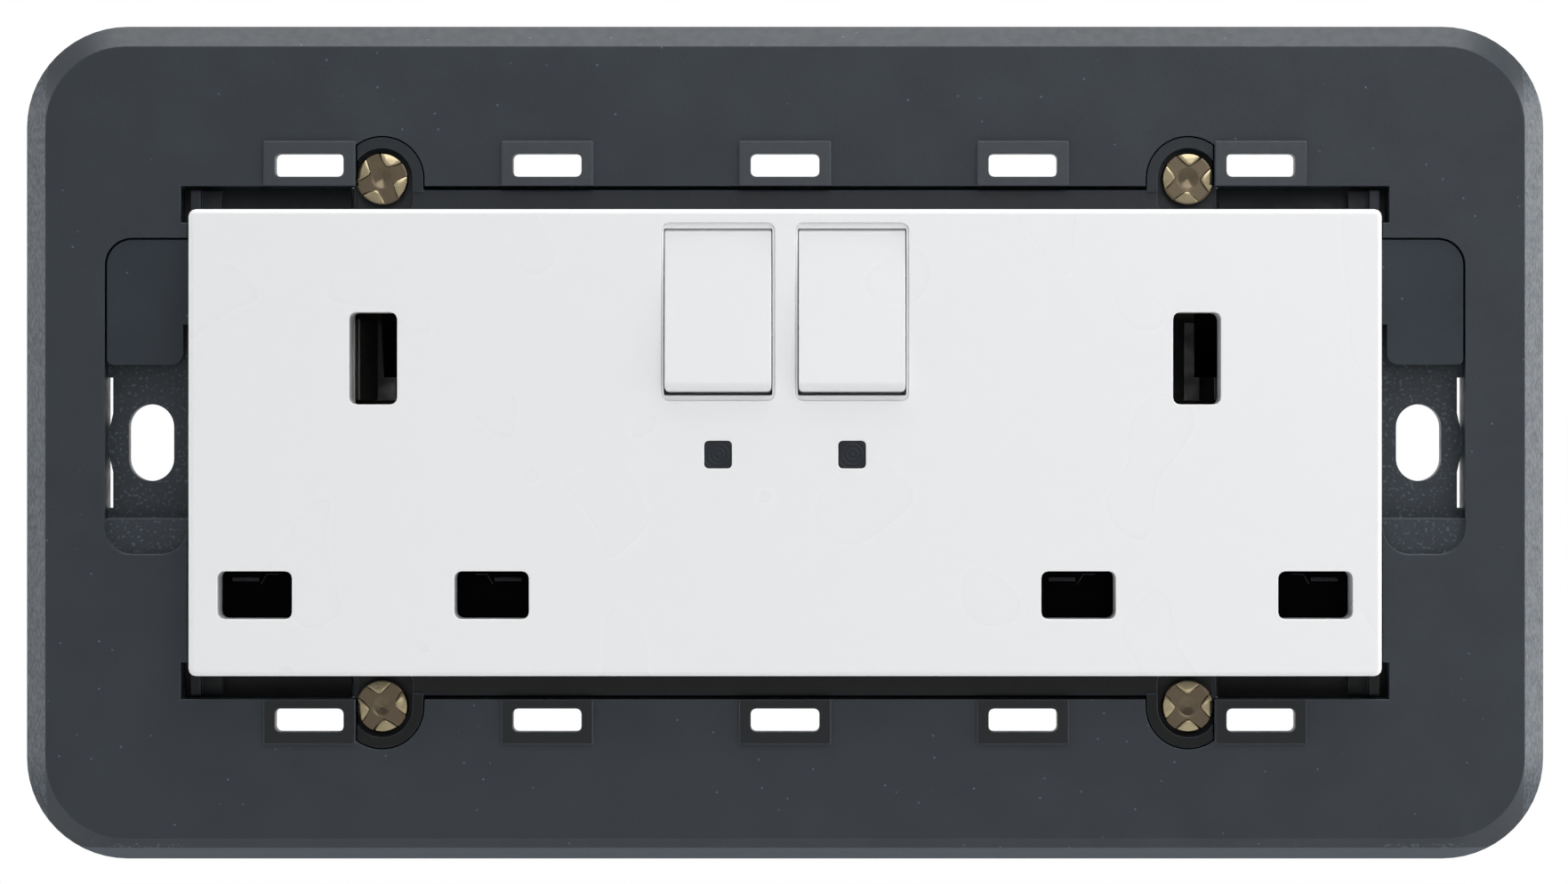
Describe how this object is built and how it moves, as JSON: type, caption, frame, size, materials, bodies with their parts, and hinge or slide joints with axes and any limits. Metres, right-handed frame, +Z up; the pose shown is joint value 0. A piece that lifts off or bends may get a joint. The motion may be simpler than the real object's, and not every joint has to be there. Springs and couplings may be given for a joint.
{
  "type": "twin switched wall socket",
  "caption": "Switched twin wall socket on its support frame, with shuttered rectangular pin apertures, rocker switches and lamp windows, without its trim plate.",
  "frame": {"origin": "on the wall plane, midway between the two wall-fixing slots", "axes": "+X to the right as seen from the front, +Z up, front towards -Y"},
  "size_m": [0.144, 0.0269, 0.079],
  "materials": {
    "frame_plastic": "fine texture",
    "carrier_plastic": "satin",
    "face_plastic": "gloss",
    "rocker_plastic": "gloss",
    "lens_plastic": "smoked",
    "lamp_glass": "clear",
    "shutter_plastic": "moulded",
    "housing_plastic": "moulded",
    "plunger_plastic": "moulded",
    "contact_brass": "bright",
    "terminal_brass": "machined",
    "silver": "satin",
    "screw_steel": "yellow plated",
    "clamp_steel": "plated",
    "spring_steel": "drawn wire"
  },
  "bodies": {
    "base": {"support_frame": "frame_plastic", "mechanism_carrier": "carrier_plastic", "front_cover": "face_plastic", "shutter_plate": "housing_plastic", "rear_housing": "housing_plastic", "switch_feed": "contact_brass", "neutral_busbar": "contact_brass", "earth_strap": "contact_brass", "terminal_neutral": "terminal_brass", "terminal_earth_left": "terminal_brass", "terminal_earth_right": "terminal_brass", "terminal_live": "terminal_brass", "terminal_screws": "clamp_steel", "carrier_screws": "screw_steel", "assembly_screws": "clamp_steel", "fixed_tip_left": "silver", "live_clip_left": "contact_brass", "lens_left": "lens_plastic", "neon_lamp_left": "lamp_glass", "fixed_tip_right": "silver", "live_clip_right": "contact_brass", "lens_right": "lens_plastic", "neon_lamp_right": "lamp_glass"},
    "rocker_left": {"rocker_left": "rocker_plastic"},
    "plunger_left": {"plunger_left": "plunger_plastic", "plunger_spring_left": "spring_steel"},
    "seesaw_left": {"moving_contact_left": "contact_brass", "moving_tip_left": "silver"},
    "shutter_left": {"shutter_left": "shutter_plastic", "shutter_spring_left": "spring_steel"},
    "rocker_right": {"rocker_right": "rocker_plastic"},
    "plunger_right": {"plunger_right": "plunger_plastic", "plunger_spring_right": "spring_steel"},
    "seesaw_right": {"moving_contact_right": "contact_brass", "moving_tip_right": "silver"},
    "shutter_right": {"shutter_right": "shutter_plastic", "shutter_spring_right": "spring_steel"}
  },
  "joints": [
    {"name": "switch_left", "type": "hinge", "parent": "base", "child": "rocker_left", "pos_m": [-0.00628, -0.007, 0.01225], "axis": [1, 0, 0], "range_deg": [0, 10]},
    {"name": "plunger_press_left", "type": "slide", "parent": "rocker_left", "child": "plunger_left", "axis": [0, -0.9962, 0.0872], "range_m": [0, 0.0008], "stiffness_N_per_m": 700, "springref_m": -0.0015, "deforming": ["plunger_spring_left"]},
    {"name": "seesaw_rock_left", "type": "hinge", "parent": "base", "child": "seesaw_left", "pos_m": [-0.00628, 0.0037, 0.01225], "axis": [1, 0, 0], "range_deg": [-14, 0]},
    {"name": "shutter_lift_left", "type": "slide", "parent": "base", "child": "shutter_left", "axis": [0, 0, 1], "range_m": [0, 0.0054], "stiffness_N_per_m": 60, "springref_m": -0.006, "deforming": ["shutter_spring_left"]},
    {"name": "switch_right", "type": "hinge", "parent": "base", "child": "rocker_right", "pos_m": [0.00628, -0.007, 0.01225], "axis": [1, 0, 0], "range_deg": [0, 10]},
    {"name": "plunger_press_right", "type": "slide", "parent": "rocker_right", "child": "plunger_right", "axis": [0, -0.9962, 0.0872], "range_m": [0, 0.0008], "stiffness_N_per_m": 700, "springref_m": -0.0015, "deforming": ["plunger_spring_right"]},
    {"name": "seesaw_rock_right", "type": "hinge", "parent": "base", "child": "seesaw_right", "pos_m": [0.00628, 0.0037, 0.01225], "axis": [1, 0, 0], "range_deg": [-14, 0]},
    {"name": "shutter_lift_right", "type": "slide", "parent": "base", "child": "shutter_right", "axis": [0, 0, 1], "range_m": [0, 0.0054], "stiffness_N_per_m": 60, "springref_m": -0.006, "deforming": ["shutter_spring_right"]}
  ],
  "couplings": [
    {"joint": "seesaw_rock_left", "follows": "switch_left", "ratio": -1.4},
    {"joint": "seesaw_rock_right", "follows": "switch_right", "ratio": -1.4}
  ]
}
